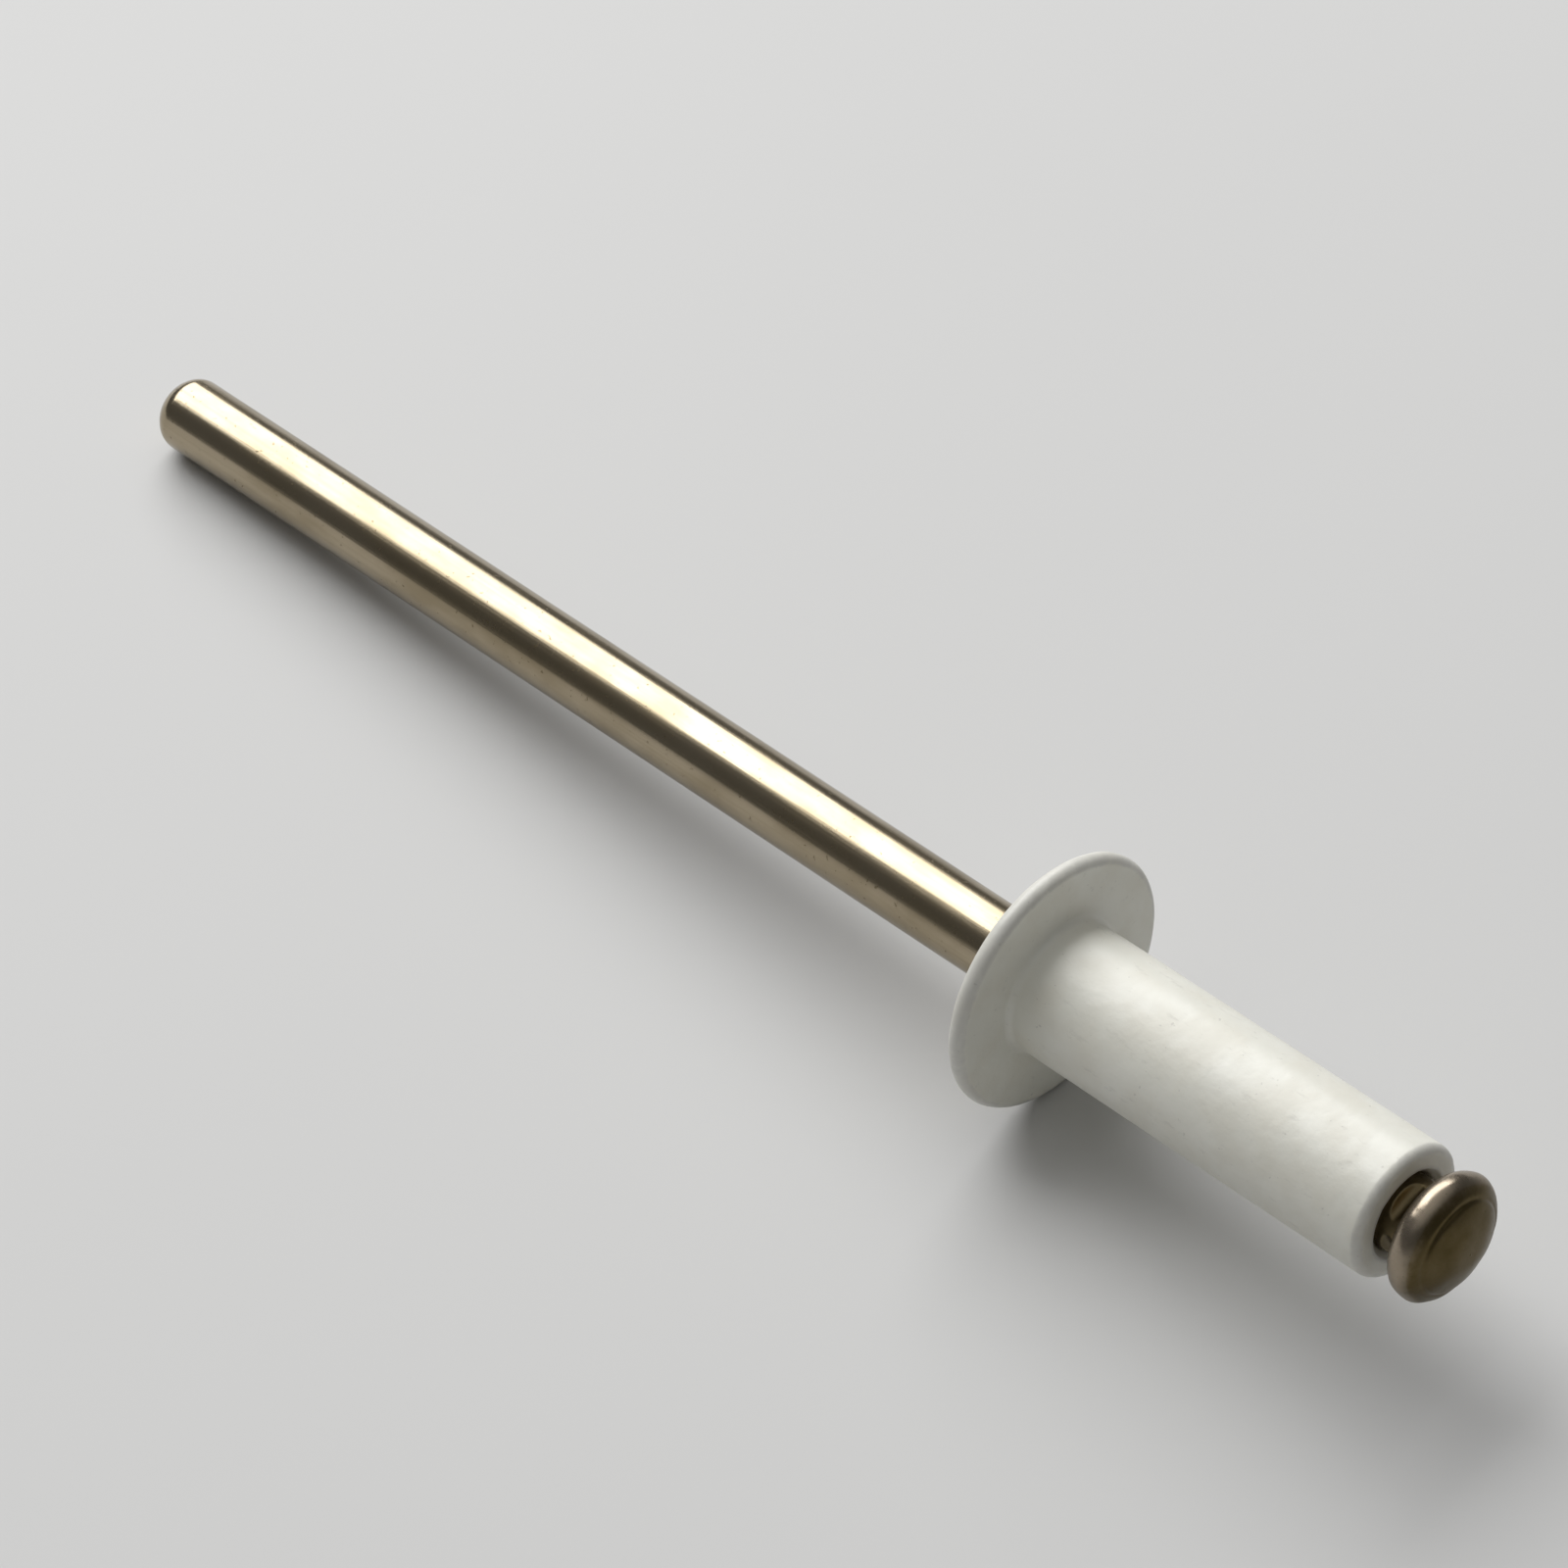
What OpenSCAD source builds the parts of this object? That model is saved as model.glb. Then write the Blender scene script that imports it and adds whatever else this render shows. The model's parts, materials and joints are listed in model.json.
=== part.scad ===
// Open-end pop rivet, 3.2 x 10 mm, as it leaves the box: a painted aluminium sleeve with a domed
// flange, threaded on a plated steel mandrel whose upset head waits past the sleeve's tail.
// Both pieces are bodies of revolution, so each is drawn as a half section about the rivet's own
// axis and turned. The section's second coordinate runs along that axis: 0 is the flange's seat,
// plus is towards the tail and the mandrel's head, minus is towards the end that the tool pulls.
// The rivet then lies down as it comes to rest, on the rim of its flange and the mandrel's tip.

/* [Sleeve] */
// Outside diameter of the sleeve, which sets the hole to drill
sleeve_d = 3.2; // [3.0:0.05:4.8]
// Length of the sleeve from the flange's seat to its open tail
sleeve_l = 10; // [6:0.5:20]
// Radius that softens the outer edge of the tail
tail_round = 0.22; // [0.1:0.02:0.3]
// Width of the chamfer inside the tail's mouth
mouth_chamfer = 0.14; // [0.06:0.02:0.2]
// Radius of the fillet between the sleeve and the flange's seat
seat_fillet = 0.16; // [0.06:0.02:0.3]

/* [Flange] */
// Outside diameter of the flange
flange_d = 6.2; // [5.6:0.1:9]
// Thickness of the flange's full-round rim
rim_t = 0.44; // [0.3:0.02:0.6]
// Height of the flange from its seat to the top of its dome
flange_h = 1.0; // [0.8:0.05:1.3]
// Radius of the rolled edge where the mandrel leaves the dome
funnel_round = 0.42; // [0.2:0.02:0.5]

/* [Mandrel] */
// Diameter of the drawn wire
wire_d = 1.8; // [1.5:0.05:2.0]
// Length of wire that stands out of the dome for the tool to grip
grip_l = 27.5; // [24:0.5:40]
// Length of the taper that was pressed on the wire's tip
tip_l = 0.3; // [0.2:0.05:0.8]
// Diameter of the flat end of the tip
tip_d = 1.3; // [0.8:0.05:1.45]

/* [Mandrel head] */
// Thickness of the head's full-round rim
head_rim_t = 0.8; // [0.4:0.02:0.9]
// Height of the cone under the head, from the neck to the middle of the rim
head_cone_h = 0.5; // [0.42:0.02:0.8]
// Height of the head's crown, from the middle of the rim to its top
head_crown_h = 0.8; // [0.55:0.05:1.3]

/* [Break neck] */
// Length of neck in view between the sleeve's tail and the head's cone
neck_l = 0.44; // [0.4:0.02:1.2]
// Number of jaws that pinched the neck
pinch_n = 4; // [2:1:6]
// Depth that each jaw bit into the wire
pinch_depth = 0.15; // [0.08:0.01:0.18]
// Width of each bite, along the wire
pinch_w = 0.38; // [0.32:0.02:0.4]
// Turn of the first bite about the rivet's axis, from straight down
pinch_turn = 20; // [0:5:90]

/* [Fits] */
// Gap between the wire and the sleeve's bore, on each side
bore_gap = 0.05; // [0.02:0.01:0.1]
// How far the head's rim stays inside the sleeve's diameter, on each side, to pass the same hole
head_inset = 0.08; // [0.02:0.02:0.2]

/* [Hidden] */
$fn = 96;
// Overlap that carries a cut clear through a face
over = 1;
// Turn of the seam of each turned surface, so that the rivet doesn't rest on a corner at its seam
seam_turn = 25;

sleeve_r = sleeve_d / 2;
wire_r = wire_d / 2;
bore_r = wire_r + bore_gap;
mouth_r = bore_r + mouth_chamfer;

// Flange: the rim is a full round, so its middle lies half its thickness above the seat
rim_r = rim_t / 2;
rim_at = flange_d / 2 - rim_r;
dome_h = flange_h - rim_r;
dome_r = crown_radius(rim_at, rim_r, dome_h);
dome_mid = dome_r - flange_h;

// Rolled edge of the hole in the dome: its circle touches the bore and, from inside, the dome
roll_at = bore_r + funnel_round;
roll = [roll_at, dome_mid - sqrt(pow(dome_r - funnel_round, 2) - pow(roll_at, 2))];
roll_meet = [0, dome_mid] + (roll - [0, dome_mid]) * dome_r / (dome_r - funnel_round);

// Head: its cone starts where the neck ends, and its rim stays within the sleeve's own diameter
head_r = sleeve_r - head_inset;
head_rim_r = head_rim_t / 2;
head_rim_at = head_r - head_rim_r;
neck_end = sleeve_l + neck_l;
head_mid = neck_end + head_cone_h;
head_end = head_mid + head_crown_h;

// Bite: the radius of a jaw whose cut has the stated depth and width
jaw_r = (pow(pinch_w / 2, 2) + pow(pinch_depth, 2)) / (2 * pinch_depth);
pinch_at = sleeve_l + neck_l / 2;

tip_end = -(flange_h + grip_l);

// Radius of a crown that rises h above the middle of a rim and runs smoothly into that rim's round
function crown_radius(at, round, h) = round + (pow(at, 2) + pow(h - round, 2)) / (2 * (h - round));

// Point where the line from p touches the circle of radius r about c, on the outer side
function touch_point(p, c, r) =
    let (
        gap = norm(c - p),
        turn = atan2(c[1] - p[1], c[0] - p[0]) - asin(r / gap),
        run = sqrt(pow(gap, 2) - pow(r, 2))
    )
    p + run * [cos(turn), sin(turn)];

// Rest: the line under both the flange's rim and the tip's shoulder is the surface that the rivet
// lies on. The tilt is the angle between that line and the axis, with the head's end raised.
shoulder = [wire_r, tip_end + tip_l];
rise = rim_at - shoulder[0];
reach = -rim_r - shoulder[1];
rest_tilt = atan2(rise, reach) + asin(rim_r / norm([rise, reach]));
rest_h = shoulder[0] * cos(rest_tilt) - shoulder[1] * sin(rest_tilt);

// Ends of the lying rivet along X: the tip's upper corner and the bulge of the head's crown
crown_r = crown_radius(head_rim_at, head_rim_r, head_crown_h);
low_x = tip_end * cos(rest_tilt) - tip_d / 2 * sin(rest_tilt);
high_x = (head_end - crown_r) * cos(rest_tilt) + crown_r;

// Half of a domed disc: a full-round rim about [at, 0] whose crown rises h towards plus
module crown_section(at, round, h) {
    radius = crown_radius(at, round, h);
    middle = h - radius;
    // the crown meets the rim's round on the line from the crown's centre through the rim's centre
    spread = radius / (radius - round);
    meet = [at * spread, middle - middle * spread];
    translate([at, 0]) circle(round);
    intersection() {
        translate([0, middle]) circle(radius);
        polygon([[0, 0], [at, 0], meet, [meet[0], h], [0, h]]);
    }
}

// What a rounding of radius r takes off a square corner, corner at the origin
module outside_round(r) {
    translate([-r, -r]) difference() {
        square(r + over);
        circle(r);
    }
}

// Fillet in the corner between a wall along plus Y and a floor along plus X, corner at the origin
module inside_fillet(r) {
    difference() {
        square(r);
        translate([r, r]) circle(r);
    }
}

module sleeve_section() {
    difference() {
        square([sleeve_r, sleeve_l]);
        translate([sleeve_r, sleeve_l]) outside_round(tail_round);
    }
    translate([sleeve_r, 0]) inside_fillet(seat_fillet);
}

module flange_section() {
    translate([0, -rim_r]) mirror([0, 1]) crown_section(rim_at, rim_r, dome_h);
    translate([0, -rim_r]) square([rim_at, rim_r]);
}

// The bore, its chamfered mouth in the tail and the rolled edge in the dome
module bore_section() {
    translate([0, -flange_h - over]) square([bore_r, sleeve_l + flange_h + 2 * over]);
    polygon([
        [0, sleeve_l - mouth_chamfer],
        [bore_r, sleeve_l - mouth_chamfer],
        [mouth_r + over, sleeve_l + over],
        [0, sleeve_l + over],
    ]);
    difference() {
        polygon([
            [0, roll[1]],
            roll,
            roll_meet,
            [roll_meet[0], -flange_h - over],
            [0, -flange_h - over],
        ]);
        translate(roll) circle(funnel_round);
    }
}

module wire_section() {
    translate([0, shoulder[1]]) square([wire_r, neck_end + head_cone_h - shoulder[1]]);
    polygon([[0, tip_end], [tip_d / 2, tip_end], shoulder, [0, shoulder[1]]]);
}

module head_section() {
    neck = [wire_r, neck_end];
    rim = [head_rim_at, head_mid];
    translate([0, head_mid]) crown_section(head_rim_at, head_rim_r, head_crown_h);
    polygon([[0, neck_end], neck, touch_point(neck, rim, head_rim_r), rim, [0, head_mid]]);
}

// One jaw of the tool that pinched the neck: a bar across the wire that bites to its depth
module jaw() {
    translate([wire_r - pinch_depth + jaw_r, 0, pinch_at])
        rotate([90, 0, 0])
            cylinder(r = jaw_r, h = 2 * wire_d, center = true);
}

// Lays the upright rivet down: its head end rises by rest_tilt and points along plus X
module at_rest() {
    translate([-(low_x + high_x) / 2, 0, rest_h])
        rotate([0, 90 - rest_tilt, 0])
            children();
}

// Turns a half section about the rivet's axis
module turned() {
    rotate([0, 0, seam_turn]) rotate_extrude() children();
}

module rivet_body() {
    color("whitesmoke") at_rest() turned() difference() {
        union() {
            sleeve_section();
            flange_section();
        }
        bore_section();
    }
}

module mandrel() {
    color("darkkhaki") at_rest() difference() {
        turned() {
            wire_section();
            head_section();
        }
        for (i = [0 : pinch_n - 1]) rotate([0, 0, pinch_turn + i * 360 / pinch_n]) jaw();
    }
}

rivet_body();
mandrel();
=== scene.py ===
# %% [markdown]
# # A pop rivet, as it leaves the box
# A blind rivet is two pieces. The body is a short aluminium tube with a domed flange on one end,
# painted off-white. The mandrel is a length of plated steel wire that runs through the body and ends
# in a head, which a riveting tool pulls until the body's tail spreads and the wire's neck snaps.
#
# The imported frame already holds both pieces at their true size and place. This lesson puts a finer
# skin on each: the same turned forms, with the softness that paint and plating give their edges, the
# marks of the tools that made them, and finishes that answer the light as the real ones do.

import json
import math

import bpy
import numpy as np
from mathutils import Matrix, Vector


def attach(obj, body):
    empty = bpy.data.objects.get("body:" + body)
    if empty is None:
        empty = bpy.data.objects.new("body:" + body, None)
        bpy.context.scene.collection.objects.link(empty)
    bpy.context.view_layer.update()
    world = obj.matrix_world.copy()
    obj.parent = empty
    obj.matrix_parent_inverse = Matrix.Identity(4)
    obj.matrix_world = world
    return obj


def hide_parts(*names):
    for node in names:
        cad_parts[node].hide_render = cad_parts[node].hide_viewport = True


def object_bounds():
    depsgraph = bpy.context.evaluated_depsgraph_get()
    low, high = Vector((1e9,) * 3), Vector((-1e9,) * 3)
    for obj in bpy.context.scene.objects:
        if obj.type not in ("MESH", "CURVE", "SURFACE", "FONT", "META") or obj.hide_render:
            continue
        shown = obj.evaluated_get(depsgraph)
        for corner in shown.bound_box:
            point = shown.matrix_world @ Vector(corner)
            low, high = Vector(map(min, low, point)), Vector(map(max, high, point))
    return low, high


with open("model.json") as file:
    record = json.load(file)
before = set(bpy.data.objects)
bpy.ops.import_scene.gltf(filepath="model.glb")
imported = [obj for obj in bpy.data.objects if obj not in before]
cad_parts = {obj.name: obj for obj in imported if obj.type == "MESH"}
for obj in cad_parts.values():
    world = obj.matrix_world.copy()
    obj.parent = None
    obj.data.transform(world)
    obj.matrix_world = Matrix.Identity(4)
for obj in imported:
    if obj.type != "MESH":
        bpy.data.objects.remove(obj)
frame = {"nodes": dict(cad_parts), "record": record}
cad_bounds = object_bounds()
print("packed nodes:", sorted(frame["nodes"]))

# %% [markdown]
# ## The rivet's own axis
# Both pieces were turned about one axis, so every shape here is easiest to say as a radius and a
# place along that axis. The rivet lies on its flange's rim and the wire's tip, which leaves the axis
# a few degrees off level. The record states that axis with its mounts, so it is read from there
# instead of being worked out a second time. Places along it count from the flange's seat: plus is
# towards the tail and the head, minus is towards the tip. Lengths are in millimetres until the last
# step, because a rivet in metres is a column of noughts.

# %% Axis and measuring
MM = 0.001
mounts = {mount["name"]: mount for mount in frame["record"]["mounts"]}

along = np.array(mounts["flange_seat"]["axis"])
along /= np.linalg.norm(along)
across = np.array([0.0, 1.0, 0.0])
downward = np.cross(across, along)

shank = np.array(mounts["shank"]["pos_m"]) / MM
seat_offset = along @ (np.array(mounts["flange_seat"]["pos_m"]) / MM - shank)
seat = shank + seat_offset * along


def turned_sizes(node):
    """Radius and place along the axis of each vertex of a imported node: the part of (vertex - seat)
    that lies along the axis, and the length of what is left."""
    mesh = frame["nodes"][node].data
    flat = np.empty(len(mesh.vertices) * 3)
    mesh.vertices.foreach_get("co", flat)
    from_seat = flat.reshape(-1, 3) / MM - seat
    place = from_seat @ along
    return np.linalg.norm(from_seat - place[:, None] * along, axis=1), place


body_r, body_at = turned_sizes("rivet_body")
pin_r, pin_at = turned_sizes("mandrel")

flange_r, flange_h = body_r.max(), -body_at.min()
sleeve_r, sleeve_l = mounts["shank"]["dims"]["r_mm"], body_at.max()
wire_r = pin_r[pin_at < -flange_h].max()
head_r, head_end = pin_r.max(), pin_at.max()
tip_end = pin_at.min()
tilt = math.degrees(math.atan2(along[2], along[0]))
print(f"axis raised {tilt:.2f} degrees, flange radius {flange_r:.3f}")
print(f"sleeve radius {sleeve_r:.2f}, {sleeve_l:.2f} long")
print(f"wire radius {wire_r:.3f}, head radius {head_r:.3f}, from {tip_end:.2f} to {head_end:.2f}")

# %% [markdown]
# ## Drawing a section
# A turned form needs only half of its section. The sections here are chains of straight runs and
# arcs, each of them sampled closely enough for the curve that it has, so that the points crowd on
# the small rounds where the highlights sit and spread out on the straight walls. Modelling the same
# forms with Blender's Bevel modifier would work too, but a bevel can't give the flange's crown.

# %% Section helpers
# Points of a section that lie closer than this are one point
SAME_POINT = 1e-4


def run(start, stop, step):
    """Straight run: evenly spaced points from start to stop, about a step apart."""
    start, stop = np.array(start, float), np.array(stop, float)
    count = max(2, int(np.ceil(np.linalg.norm(stop - start) / step)) + 1)
    return start + np.linspace(0, 1, count)[:, None] * (stop - start)


def arc(centre, radius, first, last, step):
    """Arc: centre + radius * (cos, sin) of the angles from first to last, in degrees, with points
    about a step apart."""
    turn = math.radians(abs(last - first))
    angles = np.radians(np.linspace(first, last, max(3, int(np.ceil(turn * radius / step)) + 1)))
    return np.array(centre) + radius * np.stack([np.cos(angles), np.sin(angles)], axis=1)


def chain(*pieces):
    """Joins runs and arcs into one section, dropping a point that repeats the one before it."""
    points = np.concatenate(pieces)
    moved = np.linalg.norm(np.diff(points, axis=0), axis=1) > SAME_POINT
    return points[np.concatenate([[True], moved])]


def crown_radius(rim_at, rim_r, height):
    """Radius of a crown that rises height above the middle of a rim and runs into its round: the
    distance from the crown's centre to the rim's centre is that radius less the rim's own."""
    return rim_r + (rim_at**2 + (height - rim_r) ** 2) / (2 * (height - rim_r))


def bearing(start, stop):
    """Angle of the line from start to stop, in degrees."""
    return math.degrees(math.atan2(stop[1] - start[1], stop[0] - start[0]))


# %% [markdown]
# ## The body's section
# The real body is cold-headed: a slug of aluminium is punched hollow and its end is squeezed into
# the flange. That leaves a full-round rim, a shallow crown that runs smoothly into it, and a rolled
# edge round the hole, where the punch drew the metal in. The tail is cut, so its edges are small.
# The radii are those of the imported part. The section is a loop: it ends where it began, so its last
# point is left out.

# %% Body section
RIM_R = 0.22
ROLL_R = 0.42
SEAT_FILLET = 0.16
TAIL_ROUND = 0.22
MOUTH_CHAMFER = 0.14
BORE_GAP = 0.05

bore_r = wire_r + BORE_GAP
rim_at = flange_r - RIM_R
dome_r = crown_radius(rim_at, RIM_R, flange_h - RIM_R)
dome_mid = (0, dome_r - flange_h)
roll_reach = bore_r + ROLL_R
roll = (roll_reach, dome_mid[1] - math.sqrt((dome_r - ROLL_R) ** 2 - roll_reach**2))
rim_mid = (rim_at, -RIM_R)

body_section = chain(
    run((bore_r, sleeve_l - MOUTH_CHAMFER), (bore_r, roll[1]), step=0.9),
    arc(roll, ROLL_R, 180, 360 + bearing(dome_mid, roll), step=0.03),
    arc(dome_mid, dome_r, bearing(dome_mid, roll), bearing(dome_mid, rim_mid), step=0.05),
    arc(rim_mid, RIM_R, bearing(dome_mid, rim_mid), 90, step=0.02),
    run((rim_at, 0), (sleeve_r + SEAT_FILLET, 0), step=0.06),
    arc((sleeve_r + SEAT_FILLET, SEAT_FILLET), SEAT_FILLET, 270, 180, step=0.02),
    run((sleeve_r, SEAT_FILLET), (sleeve_r, sleeve_l - TAIL_ROUND), step=0.07),
    arc((sleeve_r - TAIL_ROUND, sleeve_l - TAIL_ROUND), TAIL_ROUND, 0, 90, step=0.02),
    run((sleeve_r - TAIL_ROUND, sleeve_l), (bore_r + MOUTH_CHAMFER, sleeve_l), step=0.04),
    run((bore_r + MOUTH_CHAMFER, sleeve_l), (bore_r, sleeve_l - MOUTH_CHAMFER), step=0.03),
)[:-1]
print(f"body section: {len(body_section)} points, crown radius {dome_r:.2f}")

# %% [markdown]
# ## The mandrel's section
# The wire was drawn, cropped and upset: dies squeezed its end into a head with a short cone under
# it, a thick round rim and a blunt crown. The cone leaves the wire and just touches the rim's round,
# so the place of that touch is worked out and not guessed. The far end was pressed to a taper, and
# both corners of that taper are soft. A corner between two straight runs is rounded by cutting each
# run back by the radius times the tangent of half the turn. Along the plain wire the points are far
# apart, and they crowd from a millimetre inside the tail on, where the neck and the head show.

# %% Mandrel section
HEAD_RIM_R = 0.4
HEAD_CONE_H = 0.5
HEAD_CROWN_H = 0.8
TIP_L = 0.3
TIP_R = 0.65
TIP_ROUND = 0.22
SHOULDER_ROUND = 0.5
FINE_FROM_TAIL = 1.0

head_mid = head_end - HEAD_CROWN_H
neck_end = head_mid - HEAD_CONE_H
head_rim = (head_r - HEAD_RIM_R, head_mid)
crown_r = crown_radius(head_rim[0], HEAD_RIM_R, HEAD_CROWN_H)
crown_mid = (0, head_end - crown_r)

neck = np.array([wire_r, neck_end])
to_rim = np.array(head_rim) - neck
reach = np.linalg.norm(to_rim)
cone_turn = bearing(neck, head_rim) - math.degrees(math.asin(HEAD_RIM_R / reach))
cone_run = math.sqrt(reach**2 - HEAD_RIM_R**2)
cone_way = np.array([math.cos(math.radians(cone_turn)), math.sin(math.radians(cone_turn))])

taper = bearing((TIP_R, tip_end), (wire_r, tip_end + TIP_L))
low_cut = TIP_ROUND * math.tan(math.radians(taper / 2))
high_cut = SHOULDER_ROUND * math.tan(math.radians((90 - taper) / 2))
wire_from = tip_end + TIP_L + high_cut
fine_from = sleeve_l - FINE_FROM_TAIL
pin_section = chain(
    run((0, tip_end), (TIP_R - low_cut, tip_end), step=0.05),
    arc((TIP_R - low_cut, tip_end + TIP_ROUND), TIP_ROUND, -90, taper - 90, step=0.015),
    arc((wire_r - SHOULDER_ROUND, wire_from), SHOULDER_ROUND, taper - 90, 0, step=0.02),
    run((wire_r, wire_from), (wire_r, fine_from), step=0.35),
    run((wire_r, fine_from), (wire_r, neck_end), step=0.025),
    run(neck, neck + cone_run * cone_way, step=0.025),
    arc(head_rim, HEAD_RIM_R, cone_turn - 90, bearing(crown_mid, head_rim), step=0.02),
    arc(crown_mid, crown_r, bearing(crown_mid, head_rim), 90, step=0.022),
)
print(f"mandrel section: {len(pin_section)} points, cone at {cone_turn:.1f} degrees")

# %% [markdown]
# ## From a section to a surface
# Turning a section about the axis gives a grid: one row for each point of the section and one column
# for each angle. Real forms are never turned so truly, so a second grid says how far each point is
# moved along the surface's own normal, a few hundredths of a millimetre at most. The places in the
# rivet's own frame are kept as an attribute, which the finishes read, so that a draw line follows
# the wire and not the floor. A second attribute says how sharp an edge each point is on, because
# that is where paint is thin and plating wears.

# %% Surface helpers
# Least and greatest steepness of one wave of an unevenness, where 1 gives it the stated size
STEEPNESS = (0.6, 1.4)


def section_normals(section, closed):
    """Outward normals of a section: its tangent (r, z), turned to (z, -r), at unit length."""
    ahead = np.roll(section, -1, axis=0) if closed else np.vstack([section[1:], section[-1:]])
    behind = np.roll(section, 1, axis=0) if closed else np.vstack([section[:1], section[:-1]])
    tangent = ahead - behind
    tangent /= np.linalg.norm(tangent, axis=1)[:, None]
    return np.stack([tangent[:, 1], -tangent[:, 0]], axis=1)


def waves(points, size, count, seed):
    """Smooth unevenness: the sum of many cosine waves of about the given size that cross the points
    in all directions, over the square root of their number, so that it mostly stays between -1
    and 1."""
    rng = np.random.default_rng(seed)
    ways = rng.normal(size=(count, 3))
    steepness = 2 * np.pi / size * rng.uniform(*STEEPNESS, count)
    ways *= (steepness / np.linalg.norm(ways, axis=1))[:, None]
    phases = rng.uniform(0, 2 * np.pi, count)
    total = np.zeros(points.shape[:-1])
    for way, phase in zip(ways, phases):
        total += np.cos(points @ way + phase)
    return total / math.sqrt(count)


def turned_grid(radius, place, angles):
    """Points of a turned surface in the rivet's own frame: (r cos a, r sin a, place)."""
    places = np.broadcast_to(place, radius.shape)
    return np.stack([radius * np.cos(angles), radius * np.sin(angles), places], axis=-1)


def lifted_grid(radius, section, lift, closed, angles):
    """Points of a turned surface, each moved along the section's normal: place + lift * normal."""
    normal = section_normals(section, closed)
    return turned_grid(radius + lift * normal[:, :1], section[:, 1:] + lift * normal[:, 1:], angles)


def sharpness(section, closed, width):
    """How much a section turns outwards near each point: the angle that it turns there, spread over
    a width along the section and scaled to at most 1."""
    normals = section_normals(section, closed)
    step = np.linalg.norm(np.roll(section, -1, axis=0) - section, axis=1)
    following = np.roll(normals, -1, axis=0)
    turn = normals[:, 0] * following[:, 1] - normals[:, 1] * following[:, 0]
    place = np.cumsum(step)
    near = np.exp(-((place[:, None] - place[None, :]) / width) ** 2)
    spread = near @ np.maximum(turn, 0)
    return np.clip(spread / spread.max(), 0, 1)


def grid_faces(rows, columns, closed):
    """Quads of a grid that closes round the axis, and also along the section if it is closed. Each
    goes round the axis first and then along the section, which turns its face outwards."""
    row = np.arange(rows if closed else rows - 1)[:, None]
    column = np.arange(columns)[None, :]
    here, there = row * columns, (row + 1) % rows * columns
    beside = (column + 1) % columns
    corners = [here + column, here + beside, there + beside, there + column]
    return np.stack(corners, axis=-1).reshape(-1, 4)


def write_mesh(name, points, quads, triangles, attributes):
    """Makes a smooth mesh object from points in the rivet's own frame, in millimetres: the place is
    seat + x * downward + y * across + z * along."""
    place = seat + points[:, :1] * downward + points[:, 1:2] * across + points[:, 2:] * along
    mesh = bpy.data.meshes.new(name)
    mesh.from_pydata(place * MM, [], quads.tolist() + triangles.tolist())
    mesh.shade_smooth()
    own = mesh.attributes.new("own_frame", "FLOAT_VECTOR", "POINT")
    own.data.foreach_set("vector", points.astype(np.float32).ravel())
    for key, values in attributes.items():
        layer = mesh.attributes.new(key, "FLOAT", "POINT")
        layer.data.foreach_set("value", values.astype(np.float32).ravel())
    piece = bpy.data.objects.new(name, mesh)
    bpy.context.scene.collection.objects.link(piece)
    print(f"{name}: {len(points)} points, {2 * len(quads) + len(triangles)} triangles")
    return piece


# %% [markdown]
# ## The painted body
# The section is turned in 256 steps. Paint evens out what is under it and adds a faint unevenness of
# its own, and bodies knock together in the drum where they are coated, so the skin gets a slow wave
# of two thousandths and a few shallow knocks. A knock is a round hollow whose depth falls off from
# its middle as a bell curve does. The knocks are carved, not painted, because they are seen by the
# bend that they put in a highlight. The bore has neither, so that it stays clear of the wire.

# %% Body surface
BODY_STEPS = 256
PAINT_WAVE = 0.0022
PAINT_WAVE_SIZE = 1.1
KNOCKS = 34
KNOCK_WIDTHS = (0.08, 0.3)
KNOCK_DEPTHS = (0.003, 0.011)
BORE_MARGIN = 0.02
PAINT_EDGE = 0.08


def knocks(points, count, seed):
    """Shallow round hollows at random places: depth * exp(-(distance / width) squared), summed."""
    rng = np.random.default_rng(seed)
    flat = points.reshape(-1, 3)
    hollows = np.zeros(len(flat))
    for _ in range(count):
        middle = flat[rng.integers(len(flat))]
        width = rng.uniform(*KNOCK_WIDTHS)
        depth = rng.uniform(*KNOCK_DEPTHS)
        gap = ((flat - middle) ** 2).sum(axis=1)
        hollows += depth * np.exp(-gap / width**2)
    return hollows.reshape(points.shape[:-1])


body_angles = np.linspace(0, 2 * np.pi, BODY_STEPS, endpoint=False)[None, :]
body_radius = np.repeat(body_section[:, :1], BODY_STEPS, axis=1)
body_true = turned_grid(body_radius, body_section[:, 1:], body_angles)
outside = body_section[:, :1] > bore_r + BORE_MARGIN
paint_wave = PAINT_WAVE * waves(body_true, PAINT_WAVE_SIZE, count=40, seed=3)
body_lift = (paint_wave - knocks(body_true, KNOCKS, seed=11)) * outside
body_skin = lifted_grid(body_radius, body_section, body_lift, True, body_angles)
body_edge = np.repeat(sharpness(body_section, True, PAINT_EDGE)[:, None], BODY_STEPS, axis=1)
painted_body = write_mesh(
    "painted_body",
    body_skin.reshape(-1, 3),
    grid_faces(len(body_section), BODY_STEPS, True),
    np.empty((0, 3), int),
    {"edge": body_edge},
)

# %% [markdown]
# ## The plated mandrel
# Four jaws pinched the neck, so that the wire snaps there and nowhere else. A jaw is a bar laid
# across the wire: at each place along the neck it leaves nothing beyond a flat at a known distance
# from the axis, and on a circle that flat is its distance over the cosine of the angle from the
# jaw's middle. Taking the least of the wire and all four flats gives the bites, and what is left of
# the wire between them are four small lands.
#
# The head was squeezed cold, so it carries a slow unevenness. Two faint ridges under its rim show
# where the halves of the die met: the skin between them is set back a little. A shallow ring round
# the crown is the mark of the punch that closed the die.

# %% Mandrel surface
PIN_STEPS = 192
PINCH_N = 4
PINCH_DEPTH = 0.15
PINCH_W = 0.38
PINCH_TURN = 20
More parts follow.
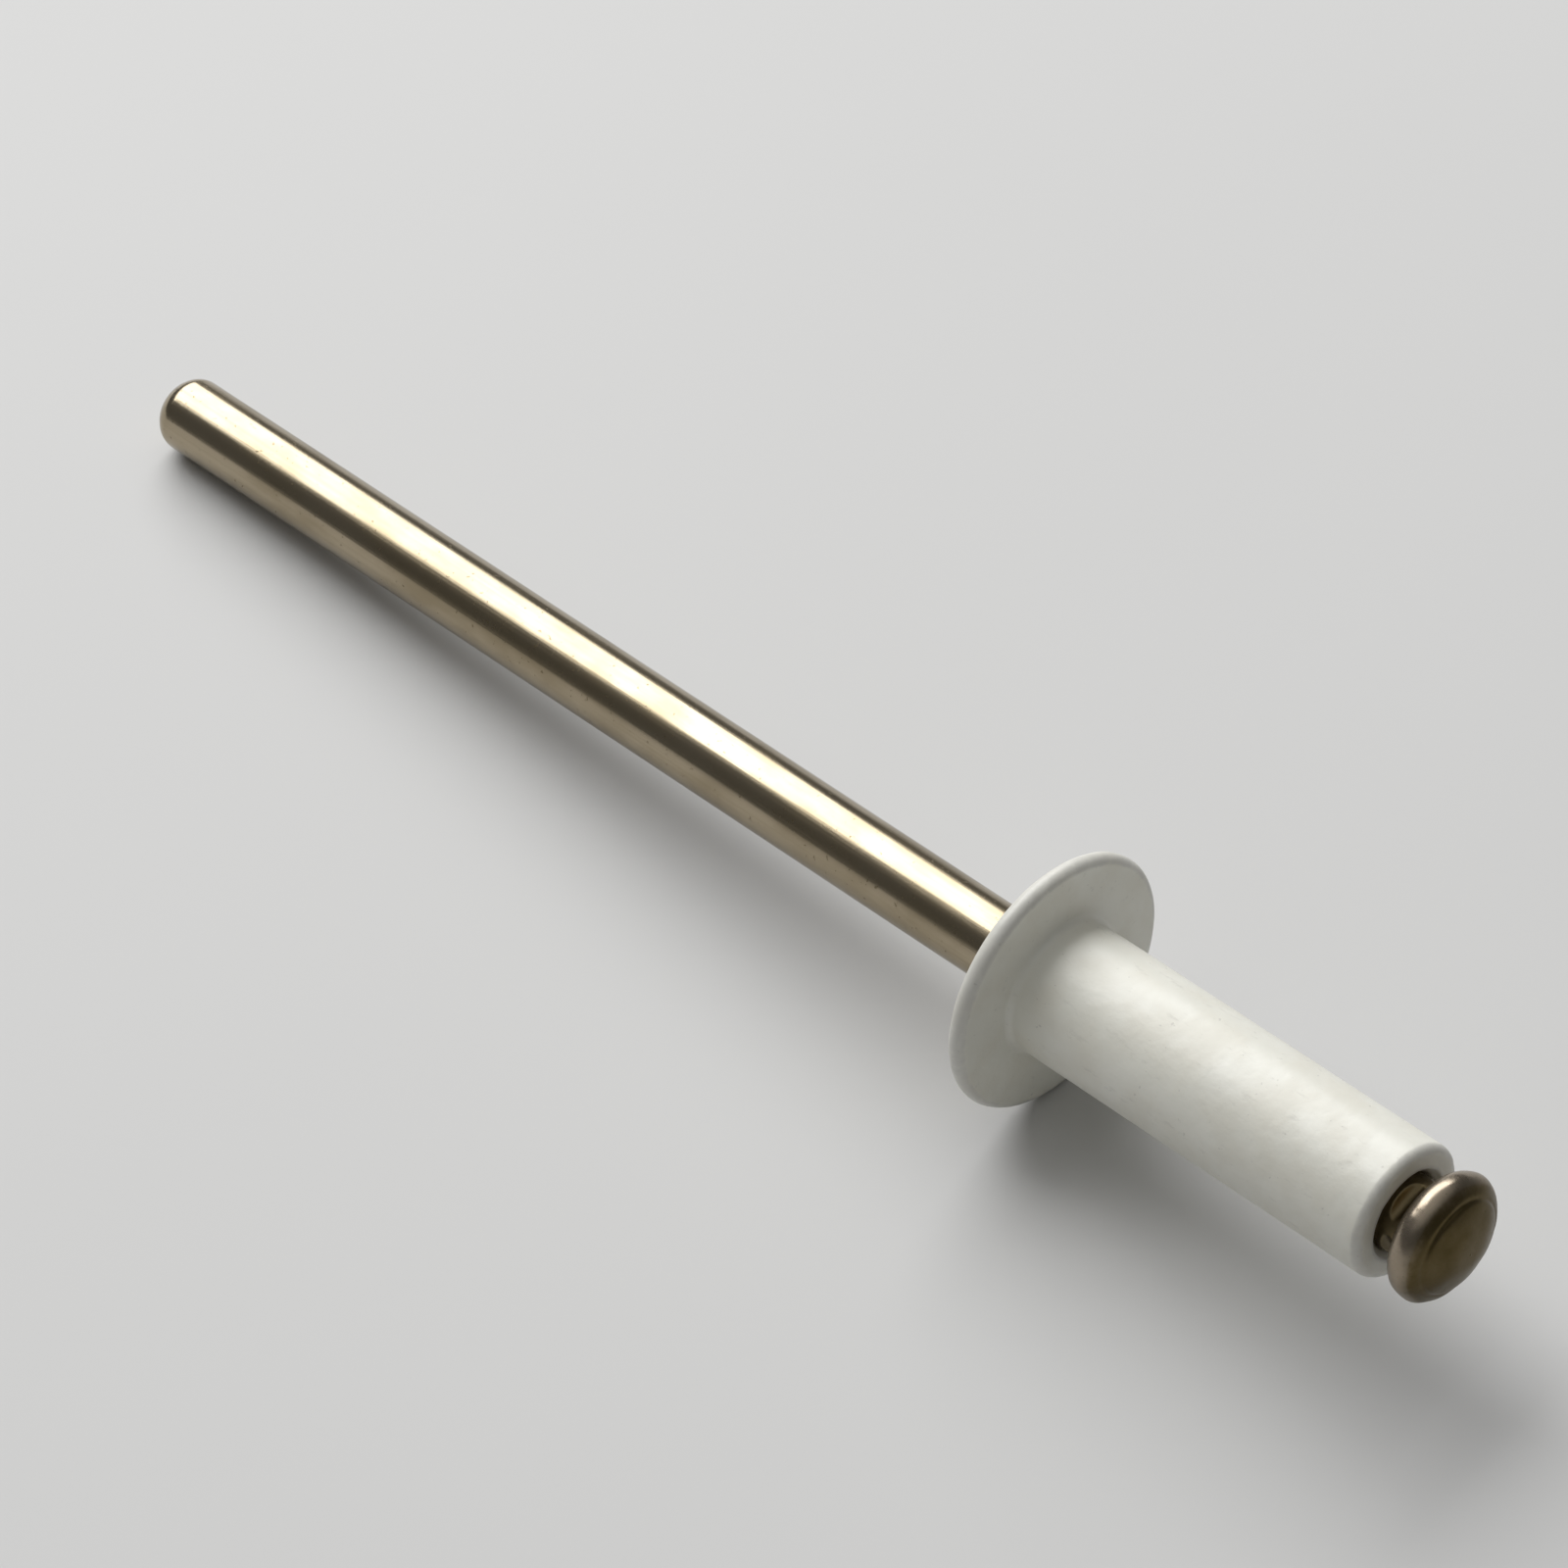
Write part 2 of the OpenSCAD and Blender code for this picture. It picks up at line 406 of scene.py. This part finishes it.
# A jaw reaches the wire only where the cosine of the angle from its middle is more than this
PINCH_FACING = 0.2
HEAD_WAVE = 0.010
HEAD_WAVE_SIZE = 0.9
# Die lines: their height, their width as a sine, their turn, and where under the rim they show
DIE_RIDGE = 0.006
DIE_LINE_WIDTH = 0.05
DIE_LINE_TURN = 0.6
DIE_LINE_UNDER = 0.1
DIE_LINE_REACH = 0.25
# Punch mark: the ring's radius, its depth and its width
PUNCH_R = 1.16
PUNCH_DEPTH = 0.025
PUNCH_WIDTH = 0.05
PLATING_EDGE = 0.05

pinch_at = (sleeve_l + neck_end) / 2
jaw_r = ((PINCH_W / 2) ** 2 + PINCH_DEPTH**2) / (2 * PINCH_DEPTH)


def pinched(radius, place, angles):
    """Radius of the wire after the jaws: the least of its own radius and, for each jaw, the jaw's
    flat over the cosine of the angle from its middle. The flat comes out as the jaw's circle does:
    its centre's distance less the square root of its radius squared less the place squared."""
    from_mid = np.abs(place - pinch_at)
    flat = wire_r - PINCH_DEPTH + jaw_r - np.sqrt(jaw_r**2 - np.clip(from_mid, 0, jaw_r) ** 2)
    bitten = radius
    for jaw in range(PINCH_N):
        facing = np.cos(angles - math.radians(PINCH_TURN + 360 / PINCH_N * jaw))
        reached = flat / np.maximum(facing, PINCH_FACING)
        bitten = np.minimum(bitten, np.where(facing > PINCH_FACING, reached, np.inf))
    return np.where(from_mid < PINCH_W / 2, bitten, radius)


pin_angles = np.linspace(0, 2 * np.pi, PIN_STEPS, endpoint=False)[None, :]
section_r, section_at = pin_section[:, :1], pin_section[:, 1:]
pin_radius = pinched(np.repeat(section_r, PIN_STEPS, axis=1), section_at, pin_angles)
pin_true = turned_grid(pin_radius, section_at, pin_angles)

on_head = np.clip((section_at - neck_end) / HEAD_CONE_H, 0, 1)
head_wave = HEAD_WAVE * on_head * waves(pin_true, HEAD_WAVE_SIZE, count=30, seed=5)
die_line = np.exp(-((np.sin(pin_angles - DIE_LINE_TURN) / DIE_LINE_WIDTH) ** 2))
under_rim = np.exp(-(((section_at - head_mid + DIE_LINE_UNDER) / DIE_LINE_REACH) ** 2))
set_back = DIE_RIDGE * on_head * (1 - die_line) * under_rim
punch_ring = np.exp(-(((section_r - PUNCH_R) / PUNCH_WIDTH) ** 2)) * (section_at > head_mid)
pin_lift = head_wave - set_back - PUNCH_DEPTH * punch_ring
pin_skin = lifted_grid(pin_radius, pin_section, pin_lift, False, pin_angles)
print(f"neck: {PINCH_N} bites, {PINCH_DEPTH} deep and {PINCH_W} wide, at {pinch_at:.2f}")

# %% [markdown]
# The section starts and ends on the axis, where a whole row of the grid would fall on one point. Each
# of those rows is replaced by one pole, and triangles join it to the row beside it.

# %% Mandrel mesh
rows = pin_skin[1:-1]
ring_count = len(rows)
poles = np.array([[0, 0, tip_end], [0, 0, head_end]])
column = np.arange(PIN_STEPS)
beside = (column + 1) % PIN_STEPS
last_ring = (ring_count - 1) * PIN_STEPS
tip_pole = ring_count * PIN_STEPS
head_pole = tip_pole + 1
fans = np.concatenate([
    np.stack([np.full(PIN_STEPS, tip_pole), beside, column], axis=1),
    np.stack([np.full(PIN_STEPS, head_pole), last_ring + column, last_ring + beside], axis=1),
])
pin_edge = np.repeat(sharpness(pin_section, False, PLATING_EDGE)[1:-1, None], PIN_STEPS, axis=1)
plated_mandrel = write_mesh(
    "plated_mandrel",
    np.concatenate([rows.reshape(-1, 3), poles]),
    grid_faces(ring_count, PIN_STEPS, False),
    fans,
    {"edge": np.concatenate([pin_edge.ravel(), [0, 0]])},
)

# %% [markdown]
# ## Writing a finish as arithmetic
# A finish is a function of the place on the piece, and node links are a slow way to write one. The
# class below wraps a socket, so that 1 - mask or grain * 0.3 adds the Math node that it says.
# Colours go through Mix nodes, because a Math node would turn them grey. The second class holds the
# nodes of one material. It also serves for the world at the end, whose shader is a plain background.
#
# The places that the finishes read are in millimetres, so a noise of scale 4 has spots of about a
# quarter of a millimetre. Its values crowd round a half, and the two limits of a smooth step say how
# rare its spots are and how soft their edges.

# %% Shader helpers
class Value:
    """A number that varies over a surface: a socket that Python can do sums with."""

    def __init__(self, finish, socket):
        self.finish, self.socket = finish, socket

    def sum_with(self, operation, other, swapped=False):
        """Adds a Math node for self and other, or for other and self if they are swapped."""
        pair = (other, self) if swapped else (self, other)
        return self.finish.add("ShaderNodeMath", {"operation": operation}, {0: pair[0], 1: pair[1]})

    def __add__(self, other):
        return self.sum_with("ADD", other)

    def __rsub__(self, other):
        return self.sum_with("SUBTRACT", other, swapped=True)

    def __mul__(self, other):
        return self.sum_with("MULTIPLY", other)

    __radd__ = __add__
    __rmul__ = __mul__

    def between(self, low, high):
        """0 below low, 1 above high, and a smooth step from one to the other."""
        return self.finish.add(
            "ShaderNodeMapRange",
            {"interpolation_type": "SMOOTHSTEP"},
            {"Value": self, "From Min": low, "From Max": high},
        )


class Finish:
    """One material, or the world, built up node by node."""

    def __init__(self, owner, shader="Principled BSDF"):
        owner.use_nodes = True
        self.owner = owner
        self.nodes = owner.node_tree.nodes
        self.links = owner.node_tree.links
        self.shader = self.nodes[shader]

    def add(self, kind, settings, sockets, output=0):
        """Adds a node: its settings first, then the values or links of its sockets, and hands back
        one of its outputs."""
        node = self.nodes.new(kind)
        for key, value in settings.items():
            setattr(node, key, value)
        for key, value in sockets.items():
            self.put(node.inputs[key], value)
        return Value(self, node.outputs[output])

    def put(self, socket, value):
        """Links a Value to a socket, or sets the socket to a plain number or colour."""
        if isinstance(value, Value):
            self.links.new(value.socket, socket)
        else:
            socket.default_value = value

    def attribute(self, name, output):
        """An attribute of the mesh: its output is Vector for a place and Fac for a number."""
        return self.add("ShaderNodeAttribute", {"attribute_name": name}, {}, output)

    def stretched(self, place, scale):
        """The place, with each of its directions multiplied by its own scale."""
        return self.add("ShaderNodeVectorMath", {"operation": "MULTIPLY"}, {0: place, 1: scale})

    def height(self, place):
        """The third coordinate of a place."""
        return self.add("ShaderNodeSeparateXYZ", {}, {"Vector": place}, "Z")

    def noise(self, place, scale, detail=2.0, roughness=0.5):
        """Cloudy noise of about 0 to 1; detail and roughness say how much finer noise it carries."""
        sockets = {"Vector": place, "Scale": scale, "Detail": detail, "Roughness": roughness}
        return self.add("ShaderNodeTexNoise", {}, sockets)

    def mixed(self, mask, first, second):
        """Colour that goes from the first to the second as the mask goes from 0 to 1. The node has
        sockets of the same names for each kind of data, so those for colours go by their numbers.
        """
        first_colour, second_colour, result = 6, 7, 2
        sockets = {"Factor": mask, first_colour: first, second_colour: second}
        return self.add("ShaderNodeMix", {"data_type": "RGBA"}, sockets, result)

    def bump(self, height, distance):
        """Surface normal for a height in units of the given distance, in millimetres."""
        sockets = {"Height": height, "Distance": distance * MM, "Strength": 1.0}
        return self.add("ShaderNodeBump", {}, sockets)

    def shade(self, **sockets):
        """Sets the shader's sockets, named with _ for each space."""
        for key, value in sockets.items():
            self.put(self.shader.inputs[key.replace("_", " ").title()], value)
        return self.owner


# %% [markdown]
# ## White paint
# The coat is a baked satin enamel, sprayed on tumbling bodies. It is warm white, slightly uneven in
# tone, with the fine ripple that painters call orange peel. It is thin on the rim and on the edges of
# the tail, where aluminium greys it, and it has picked up rub marks and specks from its neighbours.

# %% White paint
WHITE = (0.80, 0.795, 0.72, 1)
WHITE_WARM = (0.76, 0.745, 0.66, 1)
THIN_COAT = (0.56, 0.55, 0.52, 1)
RUB_GREY = (0.40, 0.39, 0.36, 1)
# The most that each mark may hide of the coat, from 0 to 1
THIN_MOST = 0.55
SPECKS_MOST = 0.35
RUBS_MOST = 0.22
PAINT_ROUGHNESS = 0.40
PEEL_HEIGHT = 0.012

paint = Finish(bpy.data.materials.new("white_paint_satin"))
place = paint.attribute("own_frame", "Vector")
edge = paint.attribute("edge", "Fac")
mottle = paint.noise(place, scale=0.9, detail=3.0).between(0.35, 0.68)
uneven_edge = edge * (0.5 + paint.noise(place, scale=3.2, detail=3.0))
thin = uneven_edge.between(0.45, 0.95) * THIN_MOST
specks = paint.noise(place, scale=7.5).between(0.70, 0.76) * SPECKS_MOST
streaks = paint.stretched(place, (1.0, 1.0, 0.35))
rubs = paint.noise(streaks, scale=4.0, detail=4.0, roughness=0.65).between(0.60, 0.74) * RUBS_MOST
coat = paint.mixed(mottle, WHITE, WHITE_WARM)
coat = paint.mixed(thin, coat, THIN_COAT)
coat = paint.mixed(specks, coat, RUB_GREY)
coat = paint.mixed(rubs, coat, RUB_GREY)
fine_peel = paint.noise(place, scale=14.0, detail=1.0)
peel = paint.noise(place, scale=3.6, detail=1.5) + 0.18 * fine_peel
white_paint = paint.shade(
    base_color=coat,
    roughness=PAINT_ROUGHNESS + 0.14 * mottle + 0.4 * rubs,
    coat_weight=0.28,
    coat_roughness=0.34,
    normal=paint.bump(peel, PEEL_HEIGHT),
)
print(f"{white_paint.name}: {len(paint.nodes)} nodes")

# %% [markdown]
# ## Plated wire
# The mandrel is steel with a thin warm plating over the marks of the drawing die, which run along it
# without a break. Stretching a noise a hundredfold along the axis gives such lines: they shift the
# tone and the gloss a little, and a bump too fine to see by itself breaks up the long highlight. On
# the head the die pressed those lines out. Its skin is browner, and scuffed instead. The crown is
# painted dark, a painted reflection of dark surroundings, and its gloss is duller. The neck is
# painted dark as well, a painted shade in the gap between the body's tail and the head. On the
# sharp corner of the tip and, more faintly, on the head's rim the plating is rubbed down to bare
# steel, so the same measure of sharpness that thins the paint is used there.

# %% Plated steel
CHAMPAGNE = (0.40, 0.338, 0.24, 1)
OLIVE = (0.31, 0.255, 0.168, 1)
BROWN = (0.27, 0.21, 0.155, 1)
BARE = (0.56, 0.54, 0.50, 1)
# Dark tone for the small pits, for the painted dark reflection on the crown and for the painted shade
# on the neck
DARK_PITS_AND_PAINTED_SHADE = (0.098, 0.073, 0.029, 1)
# The most that each tone may cover of the ones before it, from 0 to 1
LINES_MOST = 0.45
BROWN_MOST = 0.6
PITS_MOST = 0.5
NECK_SHADE_MOST = 0.8
STEEL_ROUGHNESS = 0.13
LINE_HEIGHT = 0.004

plating = Finish(bpy.data.materials.new("plated_steel_drawn"))
place = plating.attribute("own_frame", "Vector")
edge = plating.attribute("edge", "Fac")
drawn_out = plating.stretched(place, (1.0, 1.0, 0.01))
draw_lines = plating.noise(drawn_out, scale=9.0, detail=3.0, roughness=0.6)
cloudy = plating.stretched(place, (1.0, 1.0, 0.4))
cloud = plating.noise(cloudy, scale=1.1, detail=3.0).between(0.35, 0.7)
pits = plating.noise(place, scale=8.0).between(0.66, 0.74) * PITS_MOST
scuffs = plating.noise(place, scale=2.6, detail=4.0, roughness=0.65)
along_axis = plating.height(place)
head = along_axis.between(neck_end - 0.1, neck_end + 0.2)
crown = (along_axis + 0.25 * scuffs).between(head_mid + 0.2, head_mid + 0.5)
past_neck = along_axis.between(neck_end, neck_end + 0.3)
# Painted shade: the neck, from just inside the body's tail to the head's cone, is darkened
shaded_neck = along_axis.between(sleeve_l - 0.2, sleeve_l) * (1 - past_neck)
worn = edge.between(0.4, 0.95) * (0.3 + 0.6 * scuffs)
tone = plating.mixed(cloud, CHAMPAGNE, OLIVE)
tone = plating.mixed(draw_lines.between(0.45, 0.75) * LINES_MOST, tone, OLIVE)
tone = plating.mixed(head * BROWN_MOST, tone, BROWN)
# Painted dark reflection on the crown
tone = plating.mixed(crown * (0.80 + 0.3 * scuffs), tone, DARK_PITS_AND_PAINTED_SHADE)
tone = plating.mixed(pits, tone, DARK_PITS_AND_PAINTED_SHADE)
# Painted shade on the neck
tone = plating.mixed(shaded_neck * NECK_SHADE_MOST, tone, DARK_PITS_AND_PAINTED_SHADE)
tone = plating.mixed(worn, tone, BARE)
duller = 0.12 * draw_lines + 0.06 * cloud + 0.2 * pits + 0.08 * head + 0.08 * crown + 0.16 * shaded_neck
plated_steel = plating.shade(
    base_color=tone,
    metallic=1.0,
    roughness=STEEL_ROUGHNESS + duller,
    normal=plating.bump(draw_lines * (1 - head) + scuffs * head, LINE_HEIGHT),
)
print(f"{plated_steel.name}: {len(plating.nodes)} nodes")

# %% [markdown]
# ## Putting the pieces in their places
# Each skin stands for the imported node under it, rides on the rivet's one body and wears its finish.
# The slot of that finish is printed beside it.

# %% Pieces into the frame
for piece, node, slot, material in (
    (painted_body, "rivet_body", "white_paint", white_paint),
    (plated_mandrel, "mandrel", "plated_steel", plated_steel),
):
    piece.data.materials.append(material)
    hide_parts(node)
    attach(piece, "root")
    print(f"{piece.name} stands for {node} and wears {slot}")

# %% [markdown]
# ## A floor to lie on
# The rivet lies on a plain pale floor. A floor could be left to the world's colour, but then nothing
# would show that the rivet touches it at two places only: the rim of its flange and its tip. It is a
# little darker than the white paint, so that the body stands out from it.

# %% Floor
# Half the floor's side, in metres
FLOOR_HALF = 0.6
FLOOR_TONE = (0.61, 0.61, 0.605, 1)
FLOOR_LIGHTER = (0.63, 0.63, 0.625, 1)

corners = ((-1, -1), (1, -1), (1, 1), (-1, 1))
floor_mesh = bpy.data.meshes.new("floor")
floor_mesh.from_pydata([(x * FLOOR_HALF, y * FLOOR_HALF, 0) for x, y in corners], [], [(0, 1, 2, 3)])
floor = bpy.data.objects.new("floor", floor_mesh)
bpy.context.scene.collection.objects.link(floor)

pale = Finish(bpy.data.materials.new("pale_floor"))
floor_place = pale.add("ShaderNodeTexCoord", {}, {}, "Object")
floor_tone = pale.mixed(pale.noise(floor_place, scale=40.0), FLOOR_TONE, FLOOR_LIGHTER)
floor_mesh.materials.append(pale.shade(base_color=floor_tone, roughness=0.7))
print(f"floor: {2 * FLOOR_HALF:.1f} m square")

# %% [markdown]
# ## One broad light and a sky
# On so thin and shiny a wire one sees the light's own shape: a bright band from just under the upper
# edge to about the middle, and the darker room below it. A mirror shows what lies as far beyond its
# normal as the eye lies before it, so the band says where the light has to stand: 20 degrees from
# straight up, towards the far side, and reaching about 30 degrees to either side of that. It also
# leans towards the tip, which leaves the face of the flange in half shade and a streak on the rim of
# the head.
#
# The sky fills the shadows. It is dim at the sides and brighter overhead, as under a tent, so that
# the wire has something to mirror from behind as well. The plain view transform is set, because the
# usual one softens the brightest tones and would dull that band.

# %% Light
# Distance and sides in metres, power in watts
LIGHT_AWAY = 0.36
LIGHT_SIZES = (0.44, 0.285)
LIGHT_POWER = 1.68
# How far the way to the light leans towards the tip, as the sine of that angle
LIGHT_TO_TIP = 0.66
# How far it rises from level on the far side, seen along the rivet, in degrees
LIGHT_RISE = 70.0
# The sky's strength at the sides and overhead, and the sine of the height where it starts to rise
SKY_LOW = 0.12
SKY_HIGH = 0.55
SKY_FROM = 0.55
SKY_COLOUR = (1.0, 0.995, 0.985, 1)


def soft_light(name, way, away, sizes, power):
    """Rectangular area light, in metres and watts: it stands that far away from the rivet, in the
    way given, and faces it. Its long side lies across the rivet: the cross product of the way and
    the axis. The short side is the cross product of the way and the long side."""
    lamp = bpy.data.lights.new(name, "AREA")
    lamp.shape = "RECTANGLE"
    lamp.size, lamp.size_y = sizes
    lamp.energy = power
    way = Vector(way).normalized()
    long_side = way.cross(Vector(along)).normalized()
    facing = Matrix((long_side, way.cross(long_side), way)).transposed()
    light = bpy.data.objects.new(name, lamp)
    light.location = way * away
    light.rotation_mode = "QUATERNION"
    light.rotation_quaternion = facing.to_quaternion()
    bpy.context.scene.collection.objects.link(light)


light_rise = math.radians(LIGHT_RISE)
off_axis = math.sqrt(1 - LIGHT_TO_TIP**2)
key_way = (-LIGHT_TO_TIP, off_axis * math.cos(light_rise), off_axis * math.sin(light_rise))
soft_light("key", key_way, LIGHT_AWAY, LIGHT_SIZES, LIGHT_POWER)

studio = Finish(bpy.data.worlds.new("studio"), "Background")
sky_place = studio.add("ShaderNodeTexCoord", {}, {}, "Generated")
overhead = studio.height(sky_place).between(SKY_FROM, 1.0)
sky_strength = SKY_LOW + (SKY_HIGH - SKY_LOW) * overhead
bpy.context.scene.world = studio.shade(color=SKY_COLOUR, strength=sky_strength)
bpy.context.scene.view_settings.view_transform = "Standard"
print(f"key light: {LIGHT_SIZES[0]} by {LIGHT_SIZES[1]} m, {LIGHT_AWAY} m away, {LIGHT_POWER} W")

# %% [markdown]
# ## The camera
# The photograph looks down on the heap, with this rivet's head towards the viewer and its wire going
# away to the upper left. The camera's two angles give the same slope in the picture, 33 degrees, and
# the same narrowing of the sleeve's end. It stands back with a long lens, as the photographer's did:
# the far end of the wire is hardly thinner than the near one.

# %% Camera
# Angles in degrees; then, in metres, the distance, the view's width at the rivet and the nearest
# place that is seen; then the sensor's width in millimetres
AZIMUTH, ELEVATION = 45.0, 47.0
CAMERA_AWAY = 0.17
VIEW_WIDTH = 0.0345
CLIP_START = 0.01
SENSOR_WIDTH = 36.0

turn, rise = math.radians(AZIMUTH), math.radians(ELEVATION)
back = np.array([math.cos(rise) * math.sin(turn), -math.cos(rise) * math.cos(turn), math.sin(rise)])
low, high = cad_bounds
middle = (np.array(low) + np.array(high)) / 2

lens = bpy.data.cameras.new("camera")
lens.sensor_width = SENSOR_WIDTH
lens.lens = SENSOR_WIDTH * CAMERA_AWAY / VIEW_WIDTH
lens.clip_start = CLIP_START
camera = bpy.data.objects.new("camera", lens)
camera.location = middle + back * CAMERA_AWAY
camera.rotation_mode = "QUATERNION"
camera.rotation_quaternion = Vector(-back).to_track_quat("-Z", "Y")
bpy.context.scene.collection.objects.link(camera)
bpy.context.scene.camera = camera
print(f"camera: {CAMERA_AWAY} m away, lens of {lens.lens:.0f} mm")

# %% [markdown]
# ## The imported part's box
# The finer skins keep the rivet's size, and the box of the imported part is printed in millimetres.

# %% The imported part's box
print("packed box:", [tuple(round(v / MM, 3) for v in c) for c in cad_bounds])
